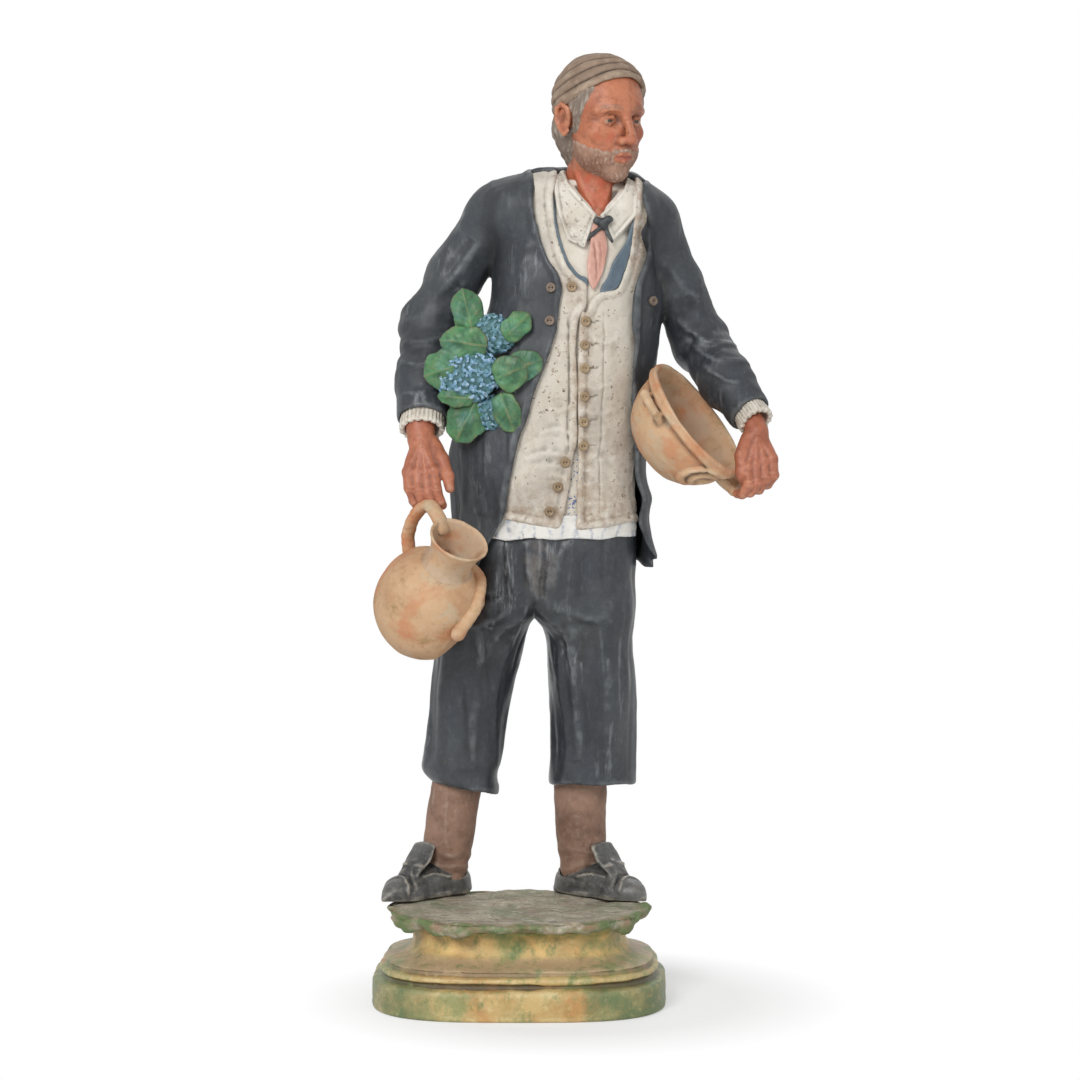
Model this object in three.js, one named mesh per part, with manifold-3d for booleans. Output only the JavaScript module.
import * as THREE from 'three';
import { mergeVertices } from 'three/addons/utils/BufferGeometryUtils.js';
import Module from 'manifold-3d';

// Painted terracotta figurine: a bearded street pedlar in a cap, waistcoat and long jacket stands on a
// moulded plinth. A pitcher hangs from his right hand, a basin is under his left arm and a posy at his elbow.
// Millimetres, +Z up. He faces -Y, and right and left are his own. Positions are taken from the plinth's
// axis, and the finished group is moved so that its origin is the middle of its foot plane.

const wasm = await Module();
wasm.setup();

// Fits and clay
const CLEARANCE = 0.3; // left between neighbouring pieces
const SHEET = 2.1; // rolled clay sheet that the clothes are cut from

// Plinth
const SLAB_WIDTH = 125.4;
const SLAB_DEPTH = 104;
const SLAB_HEIGHT = 14;
const TORUS_HEIGHT = 7;
const TORUS_INSET = 4;
const SCOTIA_HEIGHT = 16;
const SCOTIA_INSET = 16.3;
const PLINTH_WALL = 9;
const SLAB_POWER = 3.1; // 2 is an ellipse, higher is squarer
const GROUND_POWER = 2.2;
const GROUND_WIDTH = 114;
const GROUND_DEPTH = 93;
const GROUND_THICKNESS = 3;

// Feet and legs
const SHOE_LENGTH = 50;
const SHOE_WIDTH = 18;
const HEEL_HEIGHT = 13;
const INSTEP_HEIGHT = 18;
const TOE_HEIGHT = 8;
const TONGUE_HEIGHT = 21.5;
const RIGHT_TOE_OUT = 42;
const LEFT_TOE_OUT = 45;
const RIGHT_ANKLE_X = -33.2;
const LEFT_ANKLE_X = 27.4;
const ANKLE_Y = 33;
const LEFT_CALF_INSET = 4.6; // how far the left calf stands inside the middle of its hem
const SHIN_HEIGHT = 50; // ground to trouser hem
const ANKLE_WIDTH = 21.4;
const CALF_WIDTH = 22.6;
const INSEAM = 73; // hem to seat joint
const HEM_WIDTH = 35;
const HEM_SLANT = 7; // the right hem hangs lower on its inner side
const HEM_DEPTH = 6; // how far the hem is hollow around the stocking
const THIGH_WIDTH = 37.5;

// Trunk
const RISE = 37; // seat joint to waist
const TORSO_HEIGHT = 147; // waist to neck base
const TRUNK_WIDTH = 75;
const TRUNK_DEPTH = 44;
const TRUNK_TURN = 10; // degrees that the chest turns towards his left
const TRUNK_POWER = 2.3;
const SKIRT_DROP = 28; // waist to the jacket's lowest edge
const SHIRT_TAIL = 4.5; // how far the shirt shows below the waist

// Arms
const SHOULDER_SPAN = TRUNK_WIDTH - 11; // the shoulder joints stand inside the coat's sides
const ARMHOLE_DROP = 18; // neck base to shoulder joint
const UPPER_ARM = 56;
const FOREARM = 52;
const SLEEVE_WIDTH = 24;
const SLEEVE_END_WIDTH = 20.5;
const CUFF_LENGTH = 5;
const CUFF_WALL = 1.8;
const HAND_LENGTH = 25;
const FINGER_WIDTH = 4.8;

// Head
const NECK_WIDTH = 21;
const HEAD_WIDTH = 35;
const HEAD_DEPTH = 43;
const HEAD_HEIGHT = 51.6;
const HEAD_RISE = 0.4903 * HEAD_HEIGHT; // neck base to the middle of the head
const HEAD_TURN = 36; // degrees towards his left
const HEAD_NOD = 7;
const CAP_THICKNESS = 2.4;
const BEARD_THICKNESS = 1.8;

// Pitcher
const JUG_WIDTH = 46;
const JUG_NECK_WIDTH = 19;
const JUG_LIP_WIDTH = 26;
const JUG_HEIGHT = 61.5;
const JUG_MOUTH_DEPTH = 14;
const JUG_HANDLE_WIDTH = 6.2;
const JUG_HANDLE_THICKNESS = 4.2;

// Basin
const BASIN_WIDTH = 58;
const BASIN_DEPTH = 27;
const BASIN_WALL = 3;
const BASIN_RIM = 2.6;
const BASIN_FOOT_WIDTH = 24;
const BASIN_LUG_LENGTH = 10;

// Trimmings
const BUTTON_WIDTH = 4;
const BUTTON_HEIGHT = 1.6;
const LEAF_THICKNESS = 1.8;

// Levels that follow from the heights above
const PLINTH_TOP = SLAB_HEIGHT + TORUS_HEIGHT + SCOTIA_HEIGHT;
const GROUND_Z = PLINTH_TOP + CLEARANCE + GROUND_THICKNESS;
const HEM_Z = GROUND_Z + SHIN_HEIGHT;
const SEAT_Z = HEM_Z + INSEAM;
const WAIST_Z = SEAT_Z + RISE;
const NECK_Z = WAIST_Z + TORSO_HEIGHT;

const clay = (color, roughness) => new THREE.MeshStandardMaterial({ color, roughness, metalness: 0 });
const PAINT = {
  plinth: clay('#b9ad6c', 0.75),
  ground: clay('#8d8570', 0.9),
  shoe: clay('#42454a', 0.6),
  stocking: clay('#8b6a58', 0.8),
  navy: clay('#3d4349', 0.65),
  white: clay('#cfc8b9', 0.7),
  stripe: clay('#d9dce0', 0.7),
  slate: clay('#5b6f7a', 0.7),
  pink: clay('#b98478', 0.7),
  black: clay('#2b2e2f', 0.7),
  skin: clay('#b8674a', 0.6),
  hair: clay('#857a70', 0.85),
  cap: clay('#8a7867', 0.85),
  pottery: clay('#c9a67e', 0.85),
  leaf: clay('#4c7d4f', 0.7),
  flower: clay('#7fa0b4', 0.8),
  button: clay('#7c6a4f', 0.6),
};

const V = (x, y, z) => new THREE.Vector3(x, y, z);
const radians = THREE.MathUtils.degToRad;
const smooth = THREE.MathUtils.smoothstep;

// Turns rows of [parameter, value, value ...] into a smooth function of the parameter.
function profile(rows) {
  const at = rows.map(([t]) => t);
  const values = rows.flatMap(([, ...rest]) => rest);
  const spline = new THREE.CubicInterpolant(at, values, rows[0].length - 1, []);
  return (t) => [...spline.evaluate(THREE.MathUtils.clamp(t, at[0], at.at(-1)))];
}

// Solids and booleans
function solid(geometry) {
  const bare = geometry.clone();
  bare.deleteAttribute('normal');
  bare.deleteAttribute('uv');
  const merged = mergeVertices(bare, 1e-4);
  return new wasm.Manifold(
    new wasm.Mesh({
      numProp: 3,
      vertProperties: new Float32Array(merged.attributes.position.array),
      triVerts: new Uint32Array(merged.index.array),
    }),
  );
}
const join = (...parts) => parts.reduce((sum, part) => sum.add(part));
const cut = (body, ...tools) => tools.reduce((left, tool) => left.subtract(tool), body);

// A closed solid through a stack of equal rings of points.
function skin(rings) {
  const count = rings[0].length;
  const positions = rings.flat().flatMap((p) => p.toArray());
  const index = [];
  for (let r = 0; r < rings.length - 1; r++)
    for (let i = 0; i < count; i++) {
      const a = r * count + i;
      const b = r * count + ((i + 1) % count);
      index.push(a, b, b + count, a, b + count, a + count);
    }
  const cap = (ring, flip) => {
    const middle = rings.at(ring).reduce((sum, p) => sum.add(p), V(0, 0, 0)).divideScalar(count);
    const hub = positions.length / 3;
    const first = ring < 0 ? (rings.length - 1) * count : 0;
    positions.push(...middle.toArray());
    for (let i = 0; i < count; i++) {
      const a = first + i;
      const b = first + ((i + 1) % count);
      index.push(...(flip ? [hub, b, a] : [hub, a, b]));
    }
  };
  cap(0, true);
  cap(-1, false);
  const geometry = new THREE.BufferGeometry();
  geometry.setAttribute('position', new THREE.Float32BufferAttribute(positions, 3));
  geometry.setIndex(index);
  return solid(geometry);
}

// One level ring: a superellipse about a centre, with an optional ripple of its radius.
function oval(sides, centre, halfWidth, halfDepth, { power = 2, turn = 0, ripple = () => 0 } = {}) {
  return Array.from({ length: sides }, (_, i) => {
    const angle = (2 * Math.PI * i) / sides;
    const reach = (n) => Math.sign(n) * Math.abs(n) ** (2 / power);
    const swell = ripple(angle);
    const point = V(
      reach(Math.cos(angle)) * (halfWidth + swell),
      reach(Math.sin(angle)) * (halfDepth + swell),
      0,
    );
    return point.applyAxisAngle(V(0, 0, 1), radians(turn)).add(centre);
  });
}

// A limb along points: sizes are [half width seen from the front, half depth], evenly spaced along it.
function limb(points, sizes, options = {}) {
  const { sides = 14, steps = 10, grow = 0, ripple = () => 0, back = V(0, 1, 0), flat = null } = options;
  const curve = new THREE.CatmullRomCurve3(points, false, 'centripetal');
  const sizeAt = profile(sizes.map((size, i) => [i / (sizes.length - 1), ...size]));
  const rings = [];
  for (let k = 0; k <= steps; k++) {
    const u = k / steps;
    const along = curve.getTangentAt(u);
    const side = flat ? flat.clone().normalize() : back.clone().cross(along).normalize();
    const deep = along.clone().cross(side);
    const centre = curve.getPointAt(u);
    if (k === 0) centre.addScaledVector(along, -grow);
    if (k === steps) centre.addScaledVector(along, grow);
    const [a, b] = sizeAt(u);
    rings.push(
      Array.from({ length: sides }, (_, i) => {
        const angle = (2 * Math.PI * i) / sides;
        const swell = grow + ripple(angle, u);
        return centre
          .clone()
          .addScaledVector(side, Math.cos(angle) * (a + swell))
          .addScaledVector(deep, Math.sin(angle) * (b + swell));
      }),
    );
  }
  return skin(rings);
}

// A ball of clay squeezed to three half sizes, turned by an Euler rotation in degrees.
function ball(centre, [x, y, z], { turn = [0, 0, 0], grow = 0, across = 12, down = 8 } = {}) {
  const matrix = new THREE.Matrix4().compose(
    centre,
    new THREE.Quaternion().setFromEuler(new THREE.Euler(...turn.map(radians), 'ZYX')),
    V(x + grow, y + grow, z + grow),
  );
  return solid(new THREE.SphereGeometry(1, across, down).applyMatrix4(matrix));
}

// A knife with the outline of points [x, z] seen from the front, from y = near to y = far.
function knife(outline, near, far) {
  const shape = new THREE.Shape(outline.map(([x, z]) => new THREE.Vector2(x, z)));
  const geometry = new THREE.ExtrudeGeometry(shape, { depth: far - near, bevelEnabled: false });
  geometry.rotateX(Math.PI / 2).translate(0, far, 0);
  return solid(geometry);
}
const block = (low, high) =>
  solid(
    new THREE.BoxGeometry(...high.clone().sub(low)).translate(...low.clone().add(high).multiplyScalar(0.5)),
  );

// A lathe turned about an axis: profile points are [radius, distance along the axis].
function turned(outline, origin, axis, segments) {
  const points = outline.map(([radius, along]) => new THREE.Vector2(radius, along));
  const geometry = new THREE.LatheGeometry(points, segments);
  const turn = new THREE.Quaternion().setFromUnitVectors(V(0, 1, 0), axis);
  return solid(geometry.applyQuaternion(turn).translate(...origin));
}

// The figure
const figure = new THREE.Group();

function group(name) {
  const made = new THREE.Group();
  made.name = name;
  figure.add(made);
  return made;
}

// Hangs a solid in its group as a named mesh, with its origin at the middle of its own box.
function place(parent, name, body, material) {
  const mesh = body.getMesh();
  const positions = new Float32Array(mesh.numVert * 3);
  for (let i = 0; i < mesh.numVert; i++)
    positions.set(mesh.vertProperties.subarray(i * mesh.numProp, i * mesh.numProp + 3), i * 3);
  const geometry = new THREE.BufferGeometry();
  geometry.setAttribute('position', new THREE.BufferAttribute(positions, 3));
  geometry.setIndex(new THREE.BufferAttribute(new Uint32Array(mesh.triVerts), 1));
  geometry.computeBoundingBox();
  const middle = geometry.boundingBox.getCenter(V(0, 0, 0));
  geometry.translate(-middle.x, -middle.y, -middle.z);
  geometry.computeVertexNormals();
  const piece = new THREE.Mesh(geometry, material);
  piece.name = name;
  piece.position.copy(middle);
  parent.add(piece);
}

// Plinth: a slab, a torus and a scotia, hollowed from below as a pressed plinth is.
function plinthRing(z, inset, sides = 30) {
  const centre = V(0, 0, z);
  const power = THREE.MathUtils.lerp(SLAB_POWER, GROUND_POWER, smooth(z, SLAB_HEIGHT, PLINTH_TOP));
  return oval(sides, centre, SLAB_WIDTH / 2 - inset, SLAB_DEPTH / 2 - inset, { power });
}
function plinth() {
  const torusZ = SLAB_HEIGHT;
  const scotiaZ = torusZ + TORUS_HEIGHT;
  const steps = [
    [0, 0.6],
    [1.4, 0],
    [SLAB_HEIGHT - 1.4, 0.2],
    [SLAB_HEIGHT - 0.3, 1.4],
    [torusZ, TORUS_INSET - 0.4],
    [torusZ + TORUS_HEIGHT * 0.15, TORUS_INSET - 0.6],
    [torusZ + TORUS_HEIGHT * 0.65, TORUS_INSET + 1.6],
    [torusZ + TORUS_HEIGHT * 0.8, TORUS_INSET + 3.4],
    [scotiaZ, TORUS_INSET + 5.6],
    [scotiaZ + SCOTIA_HEIGHT * 0.16, SCOTIA_INSET - 1.8],
    [scotiaZ + SCOTIA_HEIGHT * 0.34, SCOTIA_INSET],
    [scotiaZ + SCOTIA_HEIGHT * 0.68, SCOTIA_INSET - 1],
    [PLINTH_TOP, SCOTIA_INSET - 5.4],
  ];
  const outside = skin(steps.map(([z, inset]) => plinthRing(z, inset)));
  const ceiling = PLINTH_TOP - PLINTH_WALL;
  const hollow = skin([
    plinthRing(-1, PLINTH_WALL, 20),
    plinthRing(SLAB_HEIGHT - 2, PLINTH_WALL + 1, 20),
    plinthRing(scotiaZ, SCOTIA_INSET + PLINTH_WALL - 1, 20),
    plinthRing(ceiling, SCOTIA_INSET + PLINTH_WALL, 20),
  ]);
  return cut(outside, hollow);
}

// Ground: a hand-pressed pad with a ragged edge.
function ground() {
  const low = PLINTH_TOP + CLEARANCE;
  const ragged = (angle) => 0.9 * Math.sin(7 * angle + 1) + 0.7 * Math.sin(11 * angle) - 0.8;
  const pad = (z, inset) =>
    oval(40, V(-1, 0, z), GROUND_WIDTH / 2 - inset, GROUND_DEPTH / 2 - inset, {
      power: GROUND_POWER,
      ripple: ragged,
    });
  return skin([pad(low, 3), pad(low + GROUND_THICKNESS * 0.45, 0), pad(GROUND_Z, 1.4)]);
}

// Feet: each has its heel point, the way it points and the ankle above it.
function foot(side, toeOut, ankleX) {
  const out = radians(toeOut) * side;
  const ahead = V(Math.sin(out), -Math.cos(out), 0);
  const ankle = V(ankleX, ANKLE_Y, GROUND_Z);
  return { side, ahead, ankle, heel: ankle.clone().addScaledVector(ahead, -1.4) };
}
const RIGHT_FOOT = foot(-1, RIGHT_TOE_OUT, RIGHT_ANKLE_X);
const LEFT_FOOT = foot(1, LEFT_TOE_OUT, LEFT_ANKLE_X);

function stockingForm({ side, ankle }, grow = 0) {
  const top = legCentre(side, 0.12).add(V(side > 0 ? -LEFT_CALF_INSET : 0, 0, 0));
  const low = ankle.clone().setZ(GROUND_Z + HEEL_HEIGHT * 0.35);
  const middle = low.clone().lerp(top, 0.76).add(V(-1, 0, 0));
  return limb([low, middle, top], [
    [ANKLE_WIDTH / 2 - 2, ANKLE_WIDTH / 2 - 2],
    [ANKLE_WIDTH / 2, ANKLE_WIDTH / 2],
    [CALF_WIDTH / 2, CALF_WIDTH / 2],
    [CALF_WIDTH / 2, CALF_WIDTH / 2],
  ], { grow, steps: 6, sides: 14 });
}

// A shoe is a stack of arched sections from heel to toe on a flat sole, with a tongue over the instep.
function shoe(where) {
  const { heel, ahead } = where;
  const across = V(0, 0, 1).cross(ahead);
  const reach = SHOE_LENGTH - ANKLE_WIDTH / 2 - 1.2;
  const section = (along, width, height) =>
    Array.from({ length: 12 }, (_, i) => {
      const angle = (2 * Math.PI * i) / 12;
      const c = Math.cos(angle);
      const s = Math.sin(angle);
      const lift = Math.max(0, Math.sign(s) * Math.abs(s) ** 0.8);
      return heel
        .clone()
        .addScaledVector(ahead, along)
        .addScaledVector(across, (Math.sign(c) * Math.abs(c) ** 0.8 * width) / 2)
        .setZ(GROUND_Z + CLEARANCE + height * lift);
    });
  const upper = skin([
    section(-ANKLE_WIDTH / 2 - 1.2, SHOE_WIDTH * 0.5, HEEL_HEIGHT * 0.8),
    section(-ANKLE_WIDTH / 2 + 1, SHOE_WIDTH, HEEL_HEIGHT),
    section(0, SHOE_WIDTH + 3.8, HEEL_HEIGHT + 0.6),
    section(ANKLE_WIDTH / 2, SHOE_WIDTH + 2.6, INSTEP_HEIGHT * 0.92),
    section(ANKLE_WIDTH / 2 + 5, SHOE_WIDTH, INSTEP_HEIGHT * 0.86),
    section(reach * 0.66, SHOE_WIDTH + 0.8, TOE_HEIGHT * 1.45),
    section(reach * 0.85, SHOE_WIDTH * 0.8, TOE_HEIGHT),
    section(reach * 0.96, SHOE_WIDTH * 0.46, TOE_HEIGHT * 0.62),
    section(reach, SHOE_WIDTH * 0.2, TOE_HEIGHT * 0.42),
  ]);
  const at = (along, z) => heel.clone().addScaledVector(ahead, along).setZ(GROUND_Z + z);
  const start = ANKLE_WIDTH / 2 + 2;
  const foot = at(start + 13, INSTEP_HEIGHT * 0.55);
  const bend = at(start + 5, INSTEP_HEIGHT * 0.9);
  const width = SHOE_WIDTH * 0.34;
  const sizes = [[width * 0.8, 1.6], [width, 1.9], [width, 1.5]];
  const tongue = limb([foot, bend, at(start + 1, TONGUE_HEIGHT)], sizes, {
    sides: 10,
    steps: 5,
    back: ahead.clone().negate(),
  });
  return cut(join(upper, tongue), stockingForm(where, CLEARANCE));
}

// Legs: centre x, centre y and half width as a share, from the hem, 0, to the seat joint, 1.
const legRows = {
  [-1]: profile([
    [0, -25.2, 26, 0.489],
    [0.17, -23.9, 26, 0.458],
    [0.42, -21.8, 25, 0.461],
    [0.66, -19.4, 23.5, 0.483],
    [1, -14.2, 22, 0.51],
  ]),
  [1]: profile([
    [0, 31.2, 28, 0.54],
    [0.17, 31.8, 28, 0.525],
    [0.42, 31.6, 26, 0.511],
    [0.66, 31, 24, 0.497],
    [0.8, 29.9, 23, 0.48],
    [1, 29.3, 22, 0.53],
  ]),
};
function legCentre(side, u) {
  const [x, y] = legRows[side](u);
  return V(x, y, HEM_Z + INSEAM * u);
}
function trouserLeg(where) {
  const { side } = where;
  const folds = (angle, u) => 0.5 * Math.sin(5 * angle + 2 * u + side) + 0.35 * Math.sin(9 * angle - 3 * u);
  const slant = side < 0 ? HEM_SLANT / HEM_WIDTH : 0;
  const legRing = (u, inset, sides) => {
    const [x, , share] = legRows[side](u);
    const width = THREE.MathUtils.lerp(HEM_WIDTH, THIGH_WIDTH, u) * share - inset;
    const centre = legCentre(side, u);
    if (u === 1) centre.z -= CLEARANCE;
    const ring = oval(sides, centre, width, width * 0.93, { power: 2.3, ripple: (angle) => folds(angle, u) });
    const hang = (1 - smooth(u, 0, 0.3)) * slant;
    ring.forEach((point) => (point.z -= hang * (point.x - x + HEM_WIDTH * 0.3)));
    return ring;
  };
  const rings = [0, 0.05, 0.2, 0.4, 0.6, 0.8, 1].map((u) => legRing(u, 0, 20));
  const mouth = [legRing(0, SHEET, 20), legRing(HEM_DEPTH / INSEAM, SHEET + 2, 20)];
  mouth[0].forEach((point) => (point.z -= 1));
  return cut(skin(rings), skin(mouth), stockingForm(where, CLEARANCE));
}

// Trunk: half sizes as shares of the trunk's, from the seat joint, -1, over the waist, 0, to the neck, 1.
const trunkProfile = profile([
  [-1, 8, 22, 0.54, 0.52],
  [-0.5, 11.5, 22, 0.53, 0.53],
  [0, 13.5, 21, 0.507, 0.51],
  [0.12, 12.5, 20, 0.507, 0.5],
  [0.235, 12.2, 19.5, 0.507, 0.5],
  [0.345, 14.5, 19.5, 0.5, 0.5],
  [0.5, 20.3, 19.5, 0.46, 0.5],
  [0.65, 24.6, 20, 0.43, 0.5],
  [0.78, 24.5, 21, 0.415, 0.48],
  [0.86, 23, 21, 0.405, 0.45],
  [0.92, 21.6, 21, 0.395, 0.41],
  [0.965, 20.6, 21, 0.345, 0.35],
  [0.987, 23.5, 21, 0.27, 0.3],
  [1, 29.5, 21, 0.17, 0.25],
]);
const trunkLevel = (z) => (z < WAIST_Z ? (z - WAIST_Z) / RISE : (z - WAIST_Z) / TORSO_HEIGHT);
function trunkRing(u, grow, sides = 22) {
  const [x, y, width, depth] = trunkProfile(u);
  const lift = grow * smooth(u, 0.72, 1);
  const z = WAIST_Z + u * (u < 0 ? RISE : TORSO_HEIGHT) + lift;
  return oval(sides, V(x, y, z), width * TRUNK_WIDTH + grow, depth * TRUNK_DEPTH + grow, {
    power: TRUNK_POWER,
    turn: TRUNK_TURN,
  });
}
// The solid inside the clothes' surface at a depth of grow outside the shirt, between two levels.
function trunkForm(grow, low = -1, high = 1) {
  const inside = [-0.5, 0, 0.2, 0.36, 0.5, 0.65, 0.78, 0.88, 0.94, 0.97, 0.988];
  const levels = [low, ...inside.filter((u) => u > low + 0.02 && u < high - 0.01), high];
  return skin(levels.map((u) => trunkRing(u, grow)));
}
// A sheet of cloth between two depths outside the shirt.
const sheetOf = (inner, outer, low, high) =>
  cut(trunkForm(outer, low, high), trunkForm(inner, low - 0.1, high + 0.1));

// Places across the clothes are given for a trunk of this width, and keep their share of it.
const DRAWN_WIDTH = 75;
function across(x, z) {
  const [middle] = trunkProfile(trunkLevel(z));
  return middle + ((x - middle) * TRUNK_WIDTH) / DRAWN_WIDTH;
}
// The front of the clothes at x and z: the point at a depth of grow outside the shirt.
function chest(given, z, grow) {
  const x = across(given, z);
  const ring = trunkRing(trunkLevel(z), grow, 240).filter((p) => p.y < trunkProfile(trunkLevel(z))[1]);
  const near = ring.reduce((best, p) => (Math.abs(p.x - x) < Math.abs(best.x - x) ? p : best));
  return V(x, near.y, z);
}
const body = (share) => WAIST_Z + share * TORSO_HEIGHT;
const FRONT = -1.4 * TRUNK_DEPTH;
const trunkBack = (u) => trunkProfile(u)[1];
// Far ends of the blocks that part the clothes.
const ASIDE = 2 * TRUNK_WIDTH;
const BEHIND = 3 * TRUNK_DEPTH;
const ABOVE = 1.5 * NECK_Z;

// Neck and head, turned together about the head's middle.
const HEAD = V(trunkProfile(1)[0] + 4.4, trunkProfile(1)[1] - 7, NECK_Z + HEAD_RISE);
const headTurn = new THREE.Quaternion().setFromEuler(
  new THREE.Euler(radians(HEAD_NOD), 0, radians(HEAD_TURN), 'ZYX'),
);
const SMALL = { across: 8, down: 6 };
const onHead = (x, y, z) =>
  V(x * HEAD_WIDTH, y * HEAD_DEPTH, z * HEAD_HEIGHT).applyQuaternion(headTurn).add(HEAD);
function headBall([x, y, z], [width, depth, height], options = {}) {
  return ball(
    onHead(x, y, z),
    [width * HEAD_WIDTH, depth * HEAD_DEPTH, height * HEAD_HEIGHT],
    { turn: [HEAD_NOD, 0, HEAD_TURN], ...options },
  );
}
function neckForm(grow = 0) {
  const [x, y] = trunkProfile(1);
  return limb([V(x, y, NECK_Z - 14), V(x + 1, y - 1, NECK_Z), HEAD.clone().setZ(HEAD.z - 12)], [
    [NECK_WIDTH / 2, NECK_WIDTH / 2],
    [NECK_WIDTH / 2, NECK_WIDTH / 2],
    [NECK_WIDTH / 2 - 0.6, NECK_WIDTH / 2],
  ], { grow, sides: 14, steps: 3 });
}
const skullForm = (grow = 0) =>
  headBall([0, 0.02, 0.12], [0.49, 0.48, 0.37], { grow, across: 16, down: 10 });
const jawForm = (grow = 0) => headBall([0, -0.14, -0.2], [0.4, 0.31, 0.29], { grow, across: 14 });
const chinForm = (grow = 0) => headBall([0, -0.35, -0.37], [0.16, 0.1, 0.085], { grow, ...SMALL });
const mouthForm = (grow = 0) => headBall([0, -0.38, -0.2], [0.17, 0.08, 0.075], { grow, ...SMALL });
const cheekForm = (side, grow = 0) =>
  headBall([side * 0.23, -0.27, -0.06], [0.15, 0.14, 0.12], { grow, ...SMALL });
const browForm = (grow = 0) => headBall([0, -0.36, 0.1], [0.36, 0.1, 0.055], { grow, down: 6 });
function earForm(side, grow = 0) {
  const turn = [HEAD_NOD - 10, 0, HEAD_TURN + side * 18];
  return headBall([side * 0.49, 0.03, -0.02], [0.07, 0.13, 0.14], { turn, grow, ...SMALL });
}
function head() {
  const face = join(
    skullForm(),
    jawForm(),
    neckForm(),
    browForm(),
    mouthForm(),
    chinForm(),
    headBall([0, -0.42, 0], [0.085, 0.08, 0.13], SMALL),
    headBall([0, -0.49, -0.045], [0.095, 0.075, 0.06], SMALL),
    ...[-1, 1].flatMap((side) => [cheekForm(side), earForm(side)]),
  );
  const socket = (side) => headBall([side * 0.2, -0.48, 0.02], [0.13, 0.07, 0.045], SMALL);
  return cut(face, socket(-1), socket(1));
}
// A half space below or above a plane through a point of the head, tipped from the head's own level.
function headHalf(point, tip, upper) {
  const turn = new THREE.Euler(radians(HEAD_NOD + tip), 0, radians(HEAD_TURN), 'ZYX');
  const reach = HEAD_HEIGHT * 2;
  const geometry = new THREE.BoxGeometry(reach, reach, reach);
  geometry.translate(0, 0, (upper ? reach : -reach) / 2);
  geometry.applyQuaternion(new THREE.Quaternion().setFromEuler(turn)).translate(...onHead(...point));
  return solid(geometry);
}
// The cap follows the skull and ends on a slanting line, low behind the ears.
const CAP_EDGE = [0, -0.1, 0.2];
const CAP_TIP = -19;
function capForm(grow = 0) {
  const dome = headBall([0, 0.02, 0.13], [0.49, 0.48, 0.37], {
    grow: CAP_THICKNESS + grow,
    across: 18,
    down: 10,
  });
  const [x, y, z] = CAP_EDGE;
  return dome.intersect(headHalf([x, y, z - (1.5 * grow) / HEAD_HEIGHT], CAP_TIP, true));
}
// Hair at the nape and temples, in the space between cap, ears and collar.
const hairForm = (grow = 0) =>
  headBall([0, 0.2, -0.13], [0.47, 0.29, 0.4], { grow, across: 14, down: 9 });
// A short beard over the jaw and chin, below a line from the ear to the corner of the mouth.
const beardForm = (grow) => join(jawForm(grow), chinForm(grow));
function beard(taken) {
  return cut(beardForm(BEARD_THICKNESS).intersect(headHalf([0, -0.3, -0.24], 16, false)), ...taken);
}

// Arms: joints follow from the shoulders and the lengths of the arm; fullness is in shares of the sleeve.
function arm(side, lift, upper, fore, fullness) {
  const [x, y] = trunkProfile(0.86);
  const shoulder = V(x + (side * SHOULDER_SPAN) / 2, y, NECK_Z - ARMHOLE_DROP + lift);
  const elbow = shoulder.clone().addScaledVector(upper.normalize(), UPPER_ARM);
  const wrist = elbow.clone().addScaledVector(fore.normalize(), FOREARM);
  return { side, shoulder, elbow, wrist, fore, fullness };
}
const RIGHT_ARM = arm(-1, 3.5, V(-31, 5, -49.5), V(-2.1, -28, -43), [0.55, 0.47, 0.45, 0.49, 0.47, 0.52]);
const LEFT_ARM = arm(1, 0, V(21.8, 10, -50), V(23, -33, -34.2), [0.53, 0.49, 0.43, 0.48, 0.45, 0.43]);

function sleeveForm({ side, shoulder, elbow, wrist, fore, fullness }, grow = 0) {
  const end = wrist.clone().addScaledVector(fore, -CUFF_LENGTH);
  const within = shoulder.clone().add(V(-side * 9, 0, 3));
  const creases = (angle, u) => {
    const depth = 0.55 * smooth(u, 0.25, 0.5) * (1 - smooth(u, 0.8, 0.95));
    return depth * Math.sin(26 * u + 2 * Math.cos(angle + side));
  };
  const sizes = fullness.map((share, i) => {
    const half = share * (i === 5 ? SLEEVE_END_WIDTH : SLEEVE_WIDTH);
    return [half, half];
  });
  return limb(
    [within, shoulder, shoulder.clone().lerp(elbow, 0.55), elbow, elbow.clone().lerp(end, 0.5), end],
    sizes,
    { grow, sides: 14, steps: 13, ripple: creases },
  );
}
const cuffSize = ({ fullness }) => fullness[5] * SLEEVE_END_WIDTH - 1.3;
function cuffForm(where, grow = 0) {
  const { wrist, fore } = where;
  const start = wrist.clone().addScaledVector(fore, -CUFF_LENGTH - 3);
  const middle = start.clone().lerp(wrist, 0.5);
  const size = [cuffSize(where), cuffSize(where)];
  return limb([start, middle, wrist], [size, size, size], { grow, sides: 14, steps: 2 });
}
function wristForm(where, grow = 0) {
  const { wrist, fore } = where;
  const deep = wrist.clone().addScaledVector(fore, -CUFF_LENGTH);
  const half = cuffSize(where) - CUFF_WALL - CLEARANCE;
  const size = [half, half * 0.8];
  return limb([deep, wrist, wrist.clone().addScaledVector(fore, 5)], [size, size, size], {
    grow,
    sides: 12,
    steps: 2,
  });
}

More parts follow.
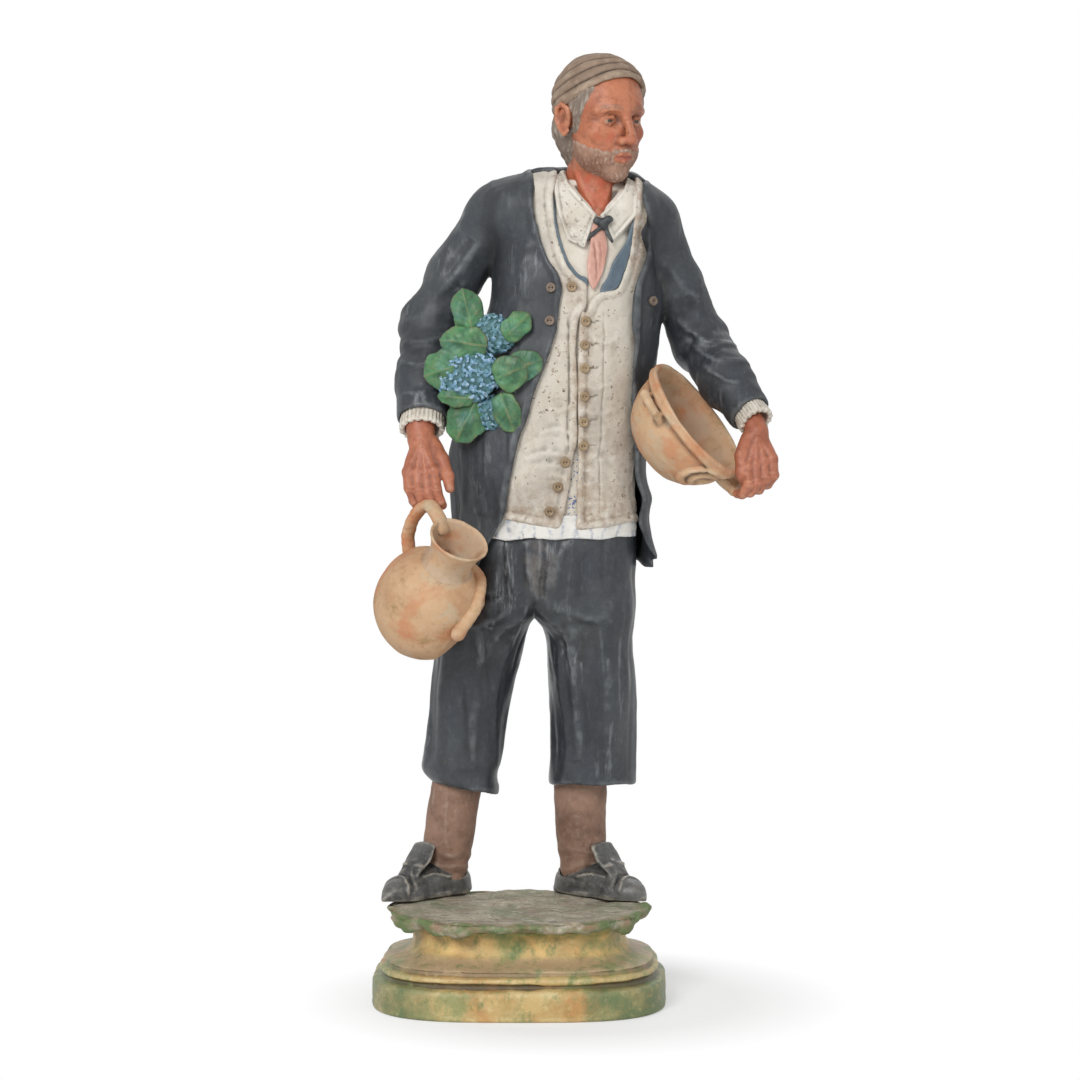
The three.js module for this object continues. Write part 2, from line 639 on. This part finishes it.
// Pitcher: it hangs from the right hand by its big handle, its mouth towards the viewer.
const GRIP = RIGHT_ARM.wrist.clone().add(V(4.8, -11.5, -HAND_LENGTH));
const jugAxis = V(0.36, -0.53, 0.77).normalize();
const jugUp = V(-0.6, 0.5, 0.62).projectOnPlane(jugAxis).normalize();
const JUG_MIDDLE = GRIP.clone().add(V(-2, 5.5, -25 - JUG_WIDTH / 2));
const onJug = (up, along) => JUG_MIDDLE.clone().addScaledVector(jugUp, up).addScaledVector(jugAxis, along);
const jugNeckAt = JUG_WIDTH / 2 + 0.5;
const jugLipAt = JUG_HEIGHT - (JUG_WIDTH / 2) * 1.04;
function jugOutline(grow = 0) {
  const r = JUG_WIDTH / 2;
  const belly = [-62, -42, -22, -2, 18, 36, 50].map((degrees) => {
    const a = radians(degrees);
    const shoulder = 1 + 0.08 * smooth(degrees, 0, 50);
    return [Math.cos(a) * r * shoulder + grow, Math.sin(a) * r * 1.08];
  });
  return [
    [0, -r * 1.04 - grow],
    [r * 0.34 + grow, -r * 1.04 - grow],
    ...belly,
    [JUG_NECK_WIDTH / 2 + 1.4 + grow, jugNeckAt - 4],
    [JUG_NECK_WIDTH / 2 + grow, jugNeckAt + 2],
    [JUG_LIP_WIDTH / 2 - 1.2 + grow, jugLipAt - 3],
    [JUG_LIP_WIDTH / 2 + grow, jugLipAt - 0.9],
  ];
}
const jugForm = (grow = 0) => turned([...jugOutline(grow), [0, jugLipAt + grow]], JUG_MIDDLE, jugAxis, 20);
function jug(taken) {
  const lip = JUG_LIP_WIDTH / 2;
  const mouth = [
    [lip - 1.6, jugLipAt + 0.4],
    [lip - 3.2, jugLipAt - 2.6],
    [JUG_NECK_WIDTH / 2 - 2.4, jugLipAt - JUG_MOUTH_DEPTH * 0.6],
    [JUG_NECK_WIDTH / 2 - 2.8, jugLipAt - JUG_MOUTH_DEPTH],
    [0, jugLipAt - JUG_MOUTH_DEPTH],
  ];
  return cut(turned([...jugOutline(), ...mouth], JUG_MIDDLE, jugAxis, 20), ...taken);
}
function jugHandleForm(grow = 0) {
  const r = JUG_WIDTH / 2;
  const lip = JUG_LIP_WIDTH / 2;
  const points = [
    onJug(lip - 3, jugLipAt - 4),
    onJug(lip + 2, jugLipAt - 0.6),
    onJug(lip + 9, jugLipAt - 0.4),
    onJug(r + 2.6, jugLipAt - 9),
    onJug(r + 1.4, r * 0.72),
    onJug(r * 0.78, r * 0.4),
  ];
  const size = [JUG_HANDLE_WIDTH / 2, JUG_HANDLE_THICKNESS / 2];
  const flat = jugAxis.clone().cross(jugUp);
  return limb(points, [size, size, size, size], { grow, sides: 10, steps: 13, flat });
}
// A second strap lies along the jug's shoulder on the side towards his leg.
function jugStrapForm(grow = 0) {
  const r = JUG_WIDTH / 2;
  const side = jugUp.clone().cross(jugAxis);
  const spot = (angle, along, out) => {
    const a = radians(angle);
    const outward = jugUp.clone().multiplyScalar(Math.cos(a)).addScaledVector(side, Math.sin(a));
    return JUG_MIDDLE.clone().addScaledVector(outward, out).addScaledVector(jugAxis, along);
  };
  const points = [
    spot(106, jugNeckAt - 2, JUG_NECK_WIDTH / 2 + 2.4),
    spot(132, r * 0.86, r * 0.68),
    spot(168, r * 0.62, r * 0.85),
    spot(192, r * 0.3, r + 0.8),
  ];
  return limb(points, [[2.2, 1.8], [2.8, 2], [3, 2], [3.4, 2.6]], { grow, sides: 10, steps: 7 });
}

// Basin: a round bowl on edge under the left forearm, its mouth towards the arm.
const basinAxis = V(0.76, -0.27, 0.6).normalize();
const basinDown = V(0.616, 0, -0.788).projectOnPlane(basinAxis).normalize();
const basinSide = basinAxis.clone().cross(basinDown);
const BASIN_GRIP = LEFT_ARM.wrist.clone().add(V(-4.6, -3, -HAND_LENGTH + 2.5));
const BASIN_MOUTH = BASIN_GRIP.clone().addScaledVector(basinDown, -BASIN_WIDTH / 2 - 2.2);
const onBasin = (down, side, out) =>
  BASIN_MOUTH.clone()
    .addScaledVector(basinDown, down)
    .addScaledVector(basinSide, side)
    .addScaledVector(basinAxis, out);
function basinOutline(grow = 0) {
  const r = BASIN_WIDTH / 2;
  return [
    [0, -BASIN_DEPTH - grow],
    [BASIN_FOOT_WIDTH / 2 + grow, -BASIN_DEPTH - grow],
    [r * 0.66 + grow, -BASIN_DEPTH * 0.82 - grow * 0.6],
    [r * 0.86 + grow, -BASIN_DEPTH * 0.5],
    [r - BASIN_RIM + grow, -BASIN_RIM * 1.6],
    [r + grow, -BASIN_RIM],
    [r + grow, 0],
  ];
}
const basinForm = (grow = 0) => turned([...basinOutline(grow), [0, grow]], BASIN_MOUTH, basinAxis, 24);
// The bowl, with two small lugs luted to its wall.
function basin() {
  const r = BASIN_WIDTH / 2 - BASIN_WALL;
  const inside = [
    [0, -BASIN_DEPTH + BASIN_WALL],
    [r * 0.6, -BASIN_DEPTH + BASIN_WALL * 1.8],
    [r * 0.84, -BASIN_DEPTH * 0.42],
    [r, 0.3],
    [0, 0.3],
  ];
  const hollow = turned(inside, BASIN_MOUTH, basinAxis, 24);
  const bowl = join(basinForm(), ...WALL_LUGS.map((lug) => basinLug(lug)));
  return cut(bowl, hollow);
}
// A lug handle: a strap bowed out from the basin's wall and back.
function basinLug({ angle, reach }, grow = 0) {
  const r = BASIN_WIDTH / 2;
  const turnTo = (degrees, radius, out) => {
    const a = radians(degrees);
    return onBasin(Math.cos(a) * radius, Math.sin(a) * radius, out);
  };
  const spread = 13;
  const low = -BASIN_RIM * 3;
  const points = [
    turnTo(angle - spread, r * 0.9, low),
    turnTo(angle - spread * 0.7, r + reach * 0.7, low + 1),
    turnTo(angle, r + reach, low + 1.4),
    turnTo(angle + spread * 0.7, r + reach * 0.7, low + 1),
    turnTo(angle + spread, r * 0.9, low),
  ];
  const size = [2.6, 2.4];
  return limb(points, [size, size, size], { grow, sides: 8, steps: 8, back: basinAxis.clone() });
}

// Hands: a palm, four curled fingers and a thumb, given as steps from the wrist.
function hand(where, { palm, knuckle, step, curl, tip, thumb }, grow) {
  const from = (x, y, z) => where.wrist.clone().add(V(x, y, z));
  const r = FINGER_WIDTH / 2;
  const back = V(0.3, 1, 0.2).normalize();
  const fingers = [0, 1, 2, 3].map((i) => {
    const root = from(...knuckle).addScaledVector(step, i);
    const points = [root, ...[...curl, tip].map((move) => root.clone().add(V(...move)))];
    const sizes = [[r, r], [r, r], [r * 0.95, r * 0.95], [r * 0.6, r * 0.6]];
    return limb(points, sizes, { grow, sides: 6, steps: 4, back });
  });
  const heel = where.wrist.clone().addScaledVector(where.fore, 4.5);
  const palmSizes = [[6.4, 5], [8, 5.6], [8.4, 5.4]];
  const thumbSizes = [[3.4, 3.2], [2.9, 2.9], [2.6, 2.6], [1.6, 1.6]];
  return join(
    limb([heel, ...palm.map((p) => from(...p))], palmSizes, { grow, sides: 10, steps: 3 }),
    wristForm(where, grow),
    limb(thumb.map((p) => from(...p)), thumbSizes, { grow, sides: 7, steps: 3 }),
    ...fingers,
  );
}
const rightHandForm = (grow = 0) =>
  hand(RIGHT_ARM, {
    palm: [[-0.6, -4, -10], [0, -9, -18]],
    knuckle: [-5.4, -9, -17],
    step: V(3.8, -0.8, -0.4),
    curl: [[1.2, -4.2, -6.5], [3, -3.2, -12]],
    tip: [3.4, -1.4, -13.2],
    thumb: [[5, -4, -7], [9, -9, -13], [11.2, -13, -19], [12.2, -14, -24]],
  }, grow);
const leftHandForm = (grow = 0) =>
  hand(LEFT_ARM, {
    palm: [[0, -3, -8], [1.5, -6, -15]],
    knuckle: [6, -8.5, -15.5],
    step: V(-3.5, -0.6, -1.3),
    curl: [[0.8, -3.4, -6], [-2.2, -1.6, -11.5]],
    tip: [-4.2, 1.6, -12],
    thumb: [[-4, -5, -8], [-7, -9, -14], [-7, -11, -21], [-5, -10.5, -26]],
  }, grow);

// Posy: three heads of small flowers in a ruff of leaves, its stems held between elbow and side.
const POSY = chest(-14, body(0.42), SHEET * 2 + CLEARANCE * 3).add(V(0, -5.5, 0));
const inPosy = (x, y, z) => POSY.clone().add(V(x, y, z));
const POSY_HEADS = [
  { name: 'flower_head_middle', at: inPosy(-4.6, -2.5, 0), size: [12.5, 5, 10.5], turn: -24 },
  { name: 'flower_head_upper', at: inPosy(4.8, 0, 20.5), size: [9.5, 4.4, 8.6], turn: 12 },
  { name: 'flower_head_lower', at: inPosy(2.6, 1, -14), size: [8.8, 4.2, 8], turn: 6 },
];
const flowerForm = ({ at, size, turn }, grow = 0) =>
  ball(at, size, { turn: [0, turn, 0], grow, across: 12, down: 8 });
const POSY_LEAVES = [
  { from: [-6, 1.4, 18], to: [-9, 0, 38], width: 12 },
  { from: [9, 2.6, 20], to: [17, 1, 34], width: 12 },
  { from: [-9, 0.6, 5], to: [-23, -0.4, 11], width: 17 },
  { from: [5, 1, 3], to: [21, -1, 9], width: 17 },
  { from: [-4, 2.6, -8], to: [-14.5, 1, -25], width: 17 },
  { from: [8, 2.8, -6], to: [13, 2, -26], width: 13 },
];
function leafForm({ from, to, width }, grow = 0) {
  const [start, end] = [inPosy(...from), inPosy(...to)];
  const bow = start.clone().lerp(end, 0.5).add(V(0, -1.8, 0));
  const t = LEAF_THICKNESS / 2;
  const half = [0.2, 0.46, 0.5, 0.4, 0.1].map((share) => [width * share, t]);
  return limb([start, bow, end], half, { grow, sides: 10, steps: 5 });
}
function stemsForm(grow = 0) {
  const points = [inPosy(-9, 16, -4), inPosy(-8, 7, 0), inPosy(-2, 3.4, 4), inPosy(4, 3.6, 9)];
  return limb(points, [[3, 3], [4.5, 3], [9, 2.2], [7, 1.6]], { grow, sides: 10, steps: 5 });
}

// Outlines seen from the front, as [x, share of the torso's height], used to cut the clothes' sheets.
const outline = (points) => points.map(([x, share]) => [across(x, body(share)), body(share)]);
// The same outline moved out all round by a distance.
function widened(points, by) {
  const area = points.reduce((sum, [x, z], i) => {
    const [nx, nz] = points[(i + 1) % points.length];
    return sum + x * nz - nx * z;
  }, 0);
  const turn = Math.sign(area);
  return points.map((point, i) => {
    const before = points.at(i - 1);
    const after = points[(i + 1) % points.length];
    const edge = ([ax, az], [bx, bz]) => new THREE.Vector2((bz - az) * turn, (ax - bx) * turn).normalize();
    const [first, second] = [edge(before, point), edge(point, after)];
    const corner = first.clone().add(second).normalize();
    const reach = by / Math.max(0.5, corner.dot(first));
    return [point[0] + corner.x * reach, point[1] + corner.y * reach];
  });
}
const shape = (points) => ({ points: outline(points) });
const knifeOf = ({ points }, grow = 0) =>
  knife(grow ? widened(points, grow) : points, FRONT, trunkBack(0.9) - 2);

const COLLAR_RIGHT = shape([
  [14.6, 1.04], [18, 1.04], [21, 0.985], [25.2, 0.95], [32.6, 0.896], [27.4, 0.801], [20.1, 0.823],
  [16.4, 0.894], [14.8, 0.965],
]);
const COLLAR_LEFT = shape([
  [50.6, 1.02], [49.5, 0.894], [39.6, 0.818], [33.8, 0.894], [39.8, 0.935], [44, 0.97], [46, 1.02],
]);
const TIE = shape([
  [30.6, 0.87], [35, 0.87], [36.8, 0.83], [37.1, 0.795], [35.6, 0.738], [32.7, 0.695],
  [30.9, 0.682], [28.9, 0.715], [28.7, 0.761], [29.8, 0.823],
]);
const LAPEL_RIGHT = shape([
  [14.8, 0.95], [16.1, 0.882], [18, 0.831], [21.2, 0.772], [25.6, 0.733], [28, 0.72], [28, 0.708],
  [25.2, 0.722], [20.2, 0.76], [16.8, 0.822], [14.9, 0.88],
]);
const LAPEL_LEFT = shape([
  [47.4, 0.866], [46.7, 0.83], [45.3, 0.79], [43.3, 0.74], [41.7, 0.708], [39.8, 0.699],
  [34.4, 0.688], [37.1, 0.721], [38.9, 0.755], [41.5, 0.785], [45.2, 0.823],
]);
const NECKLINE_RIGHT = [
  [13.8, 1.04], [14.2, 0.951], [15, 0.882], [16.6, 0.82], [20, 0.758], [25, 0.716], [28.2, 0.702],
  [28.8, 0.675], [28.1, 0.635], [25, 0.601], [23.9, 0.533], [24.3, 0.465], [24.7, 0.396],
  [24.6, 0.367], [24.1, 0.253], [22.1, 0.167], [17.9, 0.013],
];
const NECKLINE_LEFT = [
  [50.8, 1.04], [49.4, 0.95], [47.9, 0.865], [46.7, 0.797], [44.2, 0.738], [42.3, 0.702],
  [40.2, 0.684], [34.2, 0.678], [31, 0.661], [29.2, 0.641], [28, 0.616], [25.4, 0.595],
  [24.5, 0.253], [24.2, 0],
];
const OPENING_RIGHT = [
  [9, 1.1], [6.4, 0.967], [6.9, 0.899], [9.4, 0.831], [12.6, 0.772], [16.6, 0.721], [17.6, 0.687],
  [17, 0.627], [16.1, 0.567], [13.8, 0.516], [10.7, 0.456], [6.9, 0.396], [2.8, 0.31],
  [-0.4, 0.253], [-4.7, 0.11], [-6.8, 0.024], [-16.5, -0.105], [-21, -0.3],
];
const OPENING_LEFT = [
  [51.3, -0.3], [51.3, -0.048], [50.4, 0.01], [49.6, 0.139], [49.2, 0.253], [48.1, 0.31],
  [47.6, 0.43], [47.8, 0.482], [48.6, 0.533], [47.8, 0.584], [47.8, 0.635], [48.6, 0.687],
  [51, 0.729], [53.4, 0.772], [54.6, 0.823], [54, 0.882], [51.8, 0.951], [51.4, 1.1],
];

// The jacket: a back and two fronts that part at the sides, the left skirt ending in a point.
function jacketPanels(taken) {
  const inner = SHEET + CLEARANCE * 2;
  const outer = inner + SHEET;
  const sheet = sheetOf(inner, outer, -SKIRT_DROP / RISE, 1);
  const opening = knife(outline([...OPENING_RIGHT, ...OPENING_LEFT]), FRONT, trunkBack(0.9) - 4);
  const tail = [[-60, -0.065], [51.3, -0.065], [57.6, -0.14], [75, -0.02], [75, -0.5], [-60, -0.5]];
  const whole = cut(sheet, opening, neckForm(1.6), ...taken);
  const seam = trunkBack(0.5) + 1;
  const half = CLEARANCE / 2;
  const [x] = trunkProfile(0.5);
  const behind = block(V(-ASIDE, seam - half, 0), V(ASIDE, BEHIND, ABOVE));
  const ahead = block(V(-ASIDE, -BEHIND, 0), V(ASIDE, seam + half, ABOVE));
  const right = block(V(-ASIDE, -BEHIND, 0), V(x, BEHIND, ABOVE));
  const left = block(V(x, -BEHIND, 0), V(ASIDE, BEHIND, ABOVE));
  return {
    jacket_back: cut(whole, ahead, block(V(-ASIDE, 0, 0), V(ASIDE, BEHIND, WAIST_Z - SKIRT_DROP * 0.8))),
    jacket_front_right: cut(whole, behind, left),
    jacket_front_left: cut(whole, behind, right, knife(outline(tail), FRONT, seam + 2)),
  };
}

// The waistcoat's two fronts, buttoned down the middle and parting below the last buttons.
function waistcoatPanels(taken) {
  const low = -0.012;
  const sheet = sheetOf(CLEARANCE, SHEET + CLEARANCE, low, 0.985);
  const far = trunkBack(0.5) - 3;
  const right = [[-60, 1.04], ...NECKLINE_RIGHT, [7.1, 0.013], [-6.8, 0.03], [-60, 0.03]];
  const left = [[90, 0.015], [90, 1.04], ...NECKLINE_LEFT, [34.1, 0.001], [49.6, 0.015]];
  const cutTo = (points) => cut(sheet.intersect(knife(outline(points), FRONT, far)), ...taken);
  return { waistcoat_right: cutTo(right), waistcoat_left: cutTo(left) };
}

// A thin piece laid on the shirt front within an outline.
const laid = (form, thickness, ...taken) =>
  cut(sheetOf(CLEARANCE, CLEARANCE + thickness, 0.6, 0.995).intersect(knifeOf(form)), ...taken);

// The shirt collar: two wings in front that a band joins behind the neck.
function shirtCollar() {
  const sheet = sheetOf(CLEARANCE, CLEARANCE + SHEET, 0.6, 0.996);
  const wings = [COLLAR_RIGHT, COLLAR_LEFT].map((form) => sheet.intersect(knifeOf(form)));
  const whole = join(...wings, sheet.intersect(collarBand()));
  return cut(whole, neckForm(CLEARANCE), beardForm(BEARD_THICKNESS + CLEARANCE));
}
// The space round the sides and back of the neck that the collar's band takes.
function collarBand(grow = 0) {
  const near = trunkBack(1) - TRUNK_DEPTH * 0.36 - grow;
  return block(V(-ASIDE, near, NECK_Z - 3.2 - grow), V(ASIDE, BEHIND, ABOVE));
}

// A domed button on the clothes at x and share, standing on the surface at a depth of grow.
function button(x, share, grow, width = BUTTON_WIDTH) {
  const spot = chest(x, body(share), grow);
  const beside = chest(x + 1.5, body(share), grow);
  const out = beside.sub(spot).cross(V(0, 0, 1)).normalize();
  const r = width / 2;
  const h = BUTTON_HEIGHT;
  const rim = [[r * 0.8, 0], [r, h * 0.45], [r * 0.7, h * 0.95], [r * 0.35, h * 0.8]];
  return turned([[0, 0], ...rim, [0, h * 0.8]], spot.addScaledVector(out, CLEARANCE * 1.6), out, 8);
}

// Assembly, from the plinth up and from the body out.
const base = group('base');
const legs = group('legs');
const trunk = group('trunk');
const arms = group('arms');
const headGroup = group('head_and_cap');
const wares = group('wares');
const posy = group('posy');

const jugSpace = [jugForm(CLEARANCE), jugHandleForm(CLEARANCE), jugStrapForm(CLEARANCE)];
const GRIP_LUG = { angle: 0, reach: BASIN_LUG_LENGTH * 0.6 };
const WALL_LUGS = [
  { angle: -52, reach: BASIN_LUG_LENGTH * 0.3 },
  { angle: -128, reach: BASIN_LUG_LENGTH * 0.3 },
];
const basinSpace = [basinForm(CLEARANCE), ...[GRIP_LUG, ...WALL_LUGS].map((lug) => basinLug(lug, CLEARANCE))];
const waresSpace = [...jugSpace, ...basinSpace];

place(base, 'plinth', plinth(), PAINT.plinth);
place(base, 'ground', ground(), PAINT.ground);

for (const [name, where] of [['right', RIGHT_FOOT], ['left', LEFT_FOOT]]) {
  place(legs, `shoe_${name}`, shoe(where), PAINT.shoe);
  place(legs, `stocking_${name}`, stockingForm(where), PAINT.stocking);
  place(legs, `trouser_leg_${name}`, cut(trouserLeg(where), ...jugSpace), PAINT.navy);
}

const waistGap = 0.5 / RISE;
place(legs, 'trouser_seat', cut(trunkForm(0, -1, -waistGap), ...jugSpace), PAINT.navy);
const shirt = cut(trunkForm(0, CLEARANCE / RISE - waistGap, 1), neckForm(CLEARANCE));
place(trunk, 'shirt', shirt, PAINT.white);
const shirtTail = sheetOf(CLEARANCE, CLEARANCE + 1.3, -SHIRT_TAIL / RISE, -0.04);
const front = block(V(-ASIDE, FRONT, 0), V(ASIDE, trunkBack(0) - 4, ABOVE));
place(trunk, 'shirt_hem', cut(shirtTail.intersect(front), ...jugSpace), PAINT.stripe);

const collarSpace = [COLLAR_RIGHT, COLLAR_LEFT].map((form) => knifeOf(form, CLEARANCE));
const tieSpace = [...collarSpace, knifeOf(TIE, CLEARANCE)];
const lapelSpace = [LAPEL_RIGHT, LAPEL_LEFT].map((form) => knifeOf(form, CLEARANCE));
place(trunk, 'shirt_collar', shirtCollar(), PAINT.white);
place(trunk, 'tie', laid(TIE, SHEET * 0.8, ...collarSpace), PAINT.pink);
const bowCentre = chest(35, body(0.865), SHEET + CLEARANCE * 3);
const bow = ball(bowCentre, [3.4, 2.4, 4.6], { turn: [0, -20, 0], across: 10, down: 7 });
place(trunk, 'neck_bow', cut(bow, trunkForm(SHEET + CLEARANCE * 2, 0.6, 1)), PAINT.black);
place(trunk, 'vest_lapel_right', laid(LAPEL_RIGHT, SHEET * 0.6, ...tieSpace), PAINT.slate);
place(trunk, 'vest_lapel_left', laid(LAPEL_LEFT, SHEET * 0.6, ...tieSpace), PAINT.slate);

const waistcoatTaken = [neckForm(1), collarBand(CLEARANCE), ...tieSpace, ...lapelSpace, ...waresSpace];
const waistcoat = waistcoatPanels(waistcoatTaken);
const jacket = jacketPanels([...collarSpace, ...waresSpace]);
for (const [name, panel] of Object.entries(waistcoat)) place(trunk, name, panel, PAINT.white);
for (const [name, panel] of Object.entries(jacket)) place(trunk, name, panel, PAINT.navy);

const waistcoatFace = SHEET + CLEARANCE;
const jacketFace = 2 * (SHEET + CLEARANCE);
const WAISTCOAT_BUTTONS = [
  [22, 0.69], [27.8, 0.593], [27.4, 0.526], [27.4, 0.46], [27.4, 0.379], [27, 0.306], [26.9, 0.238],
  [19.3, 0.192], [16.2, 0.122], [12.7, 0.052],
];
const JACKET_BUTTONS = [[13.4, 0.688], [12.8, 0.595], [56.2, 0.65]];
WAISTCOAT_BUTTONS.forEach(([x, share], i) =>
  place(trunk, `waistcoat_button_${i + 1}`, button(x, share, waistcoatFace), PAINT.button),
);
JACKET_BUTTONS.forEach(([x, share], i) =>
  place(trunk, `jacket_button_${i + 1}`, button(x, share, jacketFace), PAINT.button),
);

const coatSpace = trunkForm(jacketFace + CLEARANCE, -SKIRT_DROP / RISE - 0.02, 1);
const posySpace = [
  stemsForm(CLEARANCE),
  ...POSY_HEADS.map((form) => flowerForm(form, CLEARANCE)),
  ...POSY_LEAVES.map((form) => leafForm(form, CLEARANCE)),
];
for (const [name, where] of [['right', RIGHT_ARM], ['left', LEFT_ARM]]) {
  const carried = name === 'right' ? posySpace : basinSpace;
  const sleeve = cut(sleeveForm(where), coatSpace, cuffForm(where, CLEARANCE), ...carried);
  const cuff = cut(cuffForm(where), wristForm(where, CLEARANCE), ...basinSpace);
  place(arms, `sleeve_${name}`, sleeve, PAINT.navy);
  place(arms, `cuff_${name}`, cuff, PAINT.white);
}
place(arms, 'hand_right', cut(rightHandForm(), ...jugSpace), PAINT.skin);
place(arms, 'hand_left', cut(leftHandForm(), ...basinSpace), PAINT.skin);

const capSpace = capForm(CLEARANCE);
const ears = [-1, 1].map((side) => earForm(side, CLEARANCE));
const faceSpace = [skullForm(CLEARANCE), beardForm(CLEARANCE), neckForm(CLEARANCE), mouthForm(CLEARANCE)];
const cheeks = [-1, 1].map((side) => cheekForm(side, CLEARANCE));
const shoulders = trunkForm(jacketFace + CLEARANCE, 0.5, 1);
place(headGroup, 'head', head(), PAINT.skin);
place(headGroup, 'cap', cut(capForm(), skullForm(CLEARANCE), browForm(CLEARANCE), ...ears), PAINT.cap);
const hairTaken = [...faceSpace, capSpace, ...ears, shoulders];
place(headGroup, 'hair', cut(hairForm(), ...hairTaken), PAINT.hair);
const beardTaken = [...faceSpace, ...cheeks, ...ears, hairForm(CLEARANCE), shoulders];
place(headGroup, 'beard', beard(beardTaken), PAINT.hair);

place(wares, 'jug', jug([jugHandleForm(CLEARANCE), jugStrapForm(CLEARANCE)]), PAINT.pottery);
place(wares, 'jug_handle', jugHandleForm(), PAINT.pottery);
place(wares, 'jug_side_strap', jugStrapForm(), PAINT.pottery);
place(wares, 'basin', basin(), PAINT.pottery);
place(wares, 'basin_handle', cut(basinLug(GRIP_LUG), basinForm(CLEARANCE)), PAINT.pottery);

POSY_HEADS.forEach((form, i) => {
  const earlier = POSY_HEADS.slice(0, i).map((other) => flowerForm(other, CLEARANCE));
  place(posy, form.name, cut(flowerForm(form), ...earlier, coatSpace), PAINT.flower);
});
const flowerSpace = POSY_HEADS.map((form) => flowerForm(form, CLEARANCE));
POSY_LEAVES.forEach((form, i) => {
  const earlier = POSY_LEAVES.slice(0, i).map((other) => leafForm(other, CLEARANCE));
  const leaf = cut(leafForm(form), ...flowerSpace, ...earlier, coatSpace);
  place(posy, `leaf_${i + 1}`, leaf, PAINT.leaf);
});
const leafSpace = POSY_LEAVES.map((form) => leafForm(form, CLEARANCE));
place(posy, 'posy_stems', cut(stemsForm(), ...flowerSpace, ...leafSpace, coatSpace), PAINT.leaf);

// The origin goes to the middle of the foot plane.
const bounds = new THREE.Box3().setFromObject(figure);
figure.position.set(-(bounds.min.x + bounds.max.x) / 2, -(bounds.min.y + bounds.max.y) / 2, -bounds.min.z);

export default figure;
